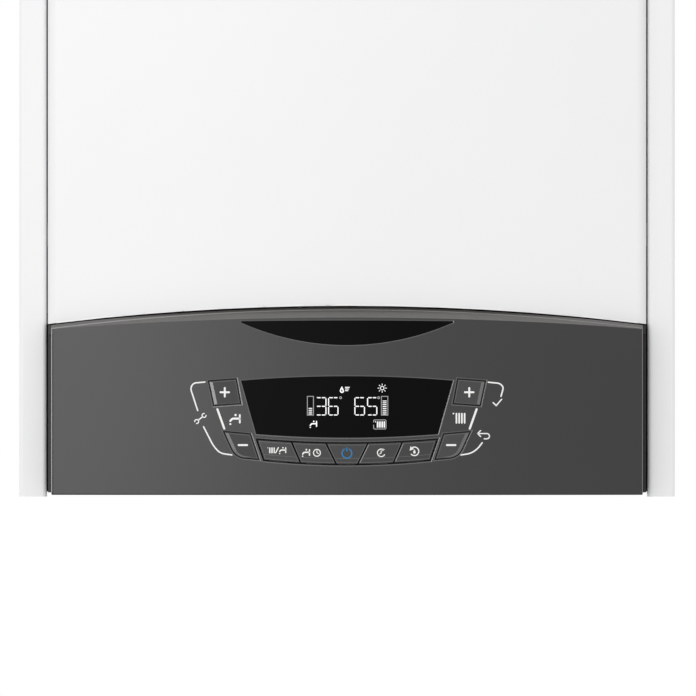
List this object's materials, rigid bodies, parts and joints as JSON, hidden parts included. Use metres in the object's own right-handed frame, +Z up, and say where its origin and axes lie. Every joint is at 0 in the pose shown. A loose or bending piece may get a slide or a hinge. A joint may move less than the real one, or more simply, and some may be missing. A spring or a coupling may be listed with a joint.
{
  "type": "combi boiler",
  "caption": "Wall-hung combination boiler with a convex white cover, an arched dark control panel that tilts forward, display and push buttons, and its burner, fan and hydraulics inside.",
  "frame": {"origin": "midway between the two wall screws of the bracket, on the wall plane", "axes": "+Z up, +Y into the wall, +X to the right as seen from the front; the front faces -Y"},
  "size_m": [0.4, 0.3196, 0.795],
  "materials": {
    "casing_white": "smooth white powder coat",
    "galvanised": "galvanised sheet",
    "spring_steel": "zinc plated",
    "fascia_grey": "satin moulded dark grey",
    "box_plastic": "matt moulded black",
    "badge_black": "gloss black inlay",
    "display_black": "smoked gloss window",
    "board_green": "printed circuit board",
    "key_grey": "satin moulded dark grey",
    "flue_plastic": "white moulded",
    "stainless": "stainless steel",
    "exchanger_shell": "glass-filled moulding",
    "cast_aluminium": "as cast",
    "zinc_fixings": "zinc plated",
    "ceramic_fibre": "pressed ceramic fibre",
    "ceramic": "glazed ceramic",
    "fan_black": "matt moulded black",
    "silencer_black": "matt moulded black",
    "vessel_red": "red enamel",
    "hydraulic_grey": "glass-filled moulding",
    "motor_grey": "grey coated",
    "brass": "machined",
    "copper": "drawn copper",
    "hose_rubber": "ribbed rubber",
    "gland_black": "moulded",
    "knob_red": "moulded",
    "knob_blue": "moulded"
  },
  "bodies": {
    "casing": {"wall_bracket": "galvanised", "back_frame": "galvanised", "left_side_panel": "casing_white", "right_side_panel": "casing_white", "top_panel": "casing_white", "bottom_tray": "galvanised", "casing_screws": "galvanised", "hinge_brackets": "galvanised", "cover_clips": "spring_steel", "flue_adaptor": "flue_plastic", "flue_test_caps": "flue_plastic", "flue_duct": "flue_plastic", "heat_exchanger": "exchanger_shell", "heat_exchanger_coil": "stainless", "burner_door": "cast_aluminium", "door_nuts": "zinc_fixings", "burner_tube": "stainless", "door_insulation": "ceramic_fibre", "ignition_electrodes": "ceramic", "fan_housing": "fan_black", "fan_motor": "fan_black", "mixer_duct": "cast_aluminium", "air_silencer": "silencer_black", "gas_valve": "cast_aluminium", "expansion_vessel": "vessel_red", "plate_heat_exchanger": "stainless", "diverter_block": "hydraulic_grey", "diverter_motor": "motor_grey", "pump_housing": "hydraulic_grey", "pump_motor": "motor_grey", "air_vent": "silencer_black", "condensate_trap": "silencer_black", "pipe_tails": "brass", "cable_glands": "gland_black", "copper_pipes": "copper", "flexible_hoses": "hose_rubber"},
    "cover": {"front_cover": "casing_white", "cover_studs": "spring_steel"},
    "control_panel": {"fascia": "fascia_grey", "badge_inlay": "badge_black", "display_window": "display_black", "display_board": "board_green", "control_box": "box_plastic", "main_board": "board_green"},
    "fan_wheel": {"fan_impeller": "fan_black"},
    "pump_wheel": {"pump_impeller": "fan_black"},
    "diverter": {"diverter_spindle": "brass"},
    "flow_wheel": {"flow_turbine": "hydraulic_grey"},
    "safety_knob": {"safety_valve_knob": "knob_red"},
    "tap_knob": {"filling_knob": "knob_blue"},
    "hot_water_plus_key": {"hot_water_plus_button": "key_grey"},
    "hot_water_minus_key": {"hot_water_minus_button": "key_grey"},
    "heating_plus_key": {"heating_plus_button": "key_grey"},
    "heating_minus_key": {"heating_minus_button": "key_grey"},
    "mode_key": {"mode_button": "key_grey"},
    "comfort_key": {"comfort_button": "key_grey"},
    "power_key": {"power_button": "key_grey"},
    "auto_key": {"auto_button": "key_grey"},
    "reset_key": {"reset_button": "key_grey"}
  },
  "joints": [
    {"name": "cover_slide", "type": "slide", "parent": "casing", "child": "cover", "axis": [0, -1, 0], "range_m": [0, 0.12]},
    {"name": "panel_tilt", "type": "hinge", "parent": "casing", "child": "control_panel", "pos_m": [0, -0.262, -0.688], "axis": [1, 0, 0], "range_deg": [0, 90]},
    {"name": "fan_spin", "type": "hinge", "parent": "casing", "child": "fan_wheel", "pos_m": [-0.118, -0.24, -0.22], "axis": [0, -1, 0], "continuous": true},
    {"name": "pump_spin", "type": "hinge", "parent": "casing", "child": "pump_wheel", "pos_m": [0.09, -0.19, -0.55], "axis": [0, -1, 0], "continuous": true},
    {"name": "turbine_spin", "type": "hinge", "parent": "casing", "child": "flow_wheel", "pos_m": [0.066, -0.13, -0.624], "axis": [0, 0, 1], "continuous": true},
    {"name": "diverter_slide", "type": "slide", "parent": "casing", "child": "diverter", "axis": [0, 0, 1], "range_m": [0, 0.008]},
    {"name": "safety_knob_turn", "type": "hinge", "parent": "casing", "child": "safety_knob", "pos_m": [0.115, -0.19, -0.62], "axis": [0, -1, 0], "range_deg": [0, 90]},
    {"name": "tap_knob_turn", "type": "hinge", "parent": "casing", "child": "tap_knob", "pos_m": [-0.099, -0.155, -0.67], "axis": [0, 0, -1], "range_deg": [0, 180]},
    {"name": "hot_water_plus_press", "type": "slide", "parent": "control_panel", "child": "hot_water_plus_key", "axis": [0, 1, 0], "range_m": [0, 0.0012], "stiffness_N_per_m": 1500, "springref_m": -0.0004},
    {"name": "hot_water_minus_press", "type": "slide", "parent": "control_panel", "child": "hot_water_minus_key", "axis": [0, 1, 0], "range_m": [0, 0.0012], "stiffness_N_per_m": 1500, "springref_m": -0.0004},
    {"name": "heating_plus_press", "type": "slide", "parent": "control_panel", "child": "heating_plus_key", "axis": [0, 1, 0], "range_m": [0, 0.0012], "stiffness_N_per_m": 1500, "springref_m": -0.0004},
    {"name": "heating_minus_press", "type": "slide", "parent": "control_panel", "child": "heating_minus_key", "axis": [0, 1, 0], "range_m": [0, 0.0012], "stiffness_N_per_m": 1500, "springref_m": -0.0004},
    {"name": "mode_press", "type": "slide", "parent": "control_panel", "child": "mode_key", "axis": [0, 1, 0], "range_m": [0, 0.0012], "stiffness_N_per_m": 1500, "springref_m": -0.0004},
    {"name": "comfort_press", "type": "slide", "parent": "control_panel", "child": "comfort_key", "axis": [0, 1, 0], "range_m": [0, 0.0012], "stiffness_N_per_m": 1500, "springref_m": -0.0004},
    {"name": "power_press", "type": "slide", "parent": "control_panel", "child": "power_key", "axis": [0, 1, 0], "range_m": [0, 0.0012], "stiffness_N_per_m": 1500, "springref_m": -0.0004},
    {"name": "auto_press", "type": "slide", "parent": "control_panel", "child": "auto_key", "axis": [0, 1, 0], "range_m": [0, 0.0012], "stiffness_N_per_m": 1500, "springref_m": -0.0004},
    {"name": "reset_press", "type": "slide", "parent": "control_panel", "child": "reset_key", "axis": [0, 1, 0], "range_m": [0, 0.0012], "stiffness_N_per_m": 1500, "springref_m": -0.0004}
  ]
}
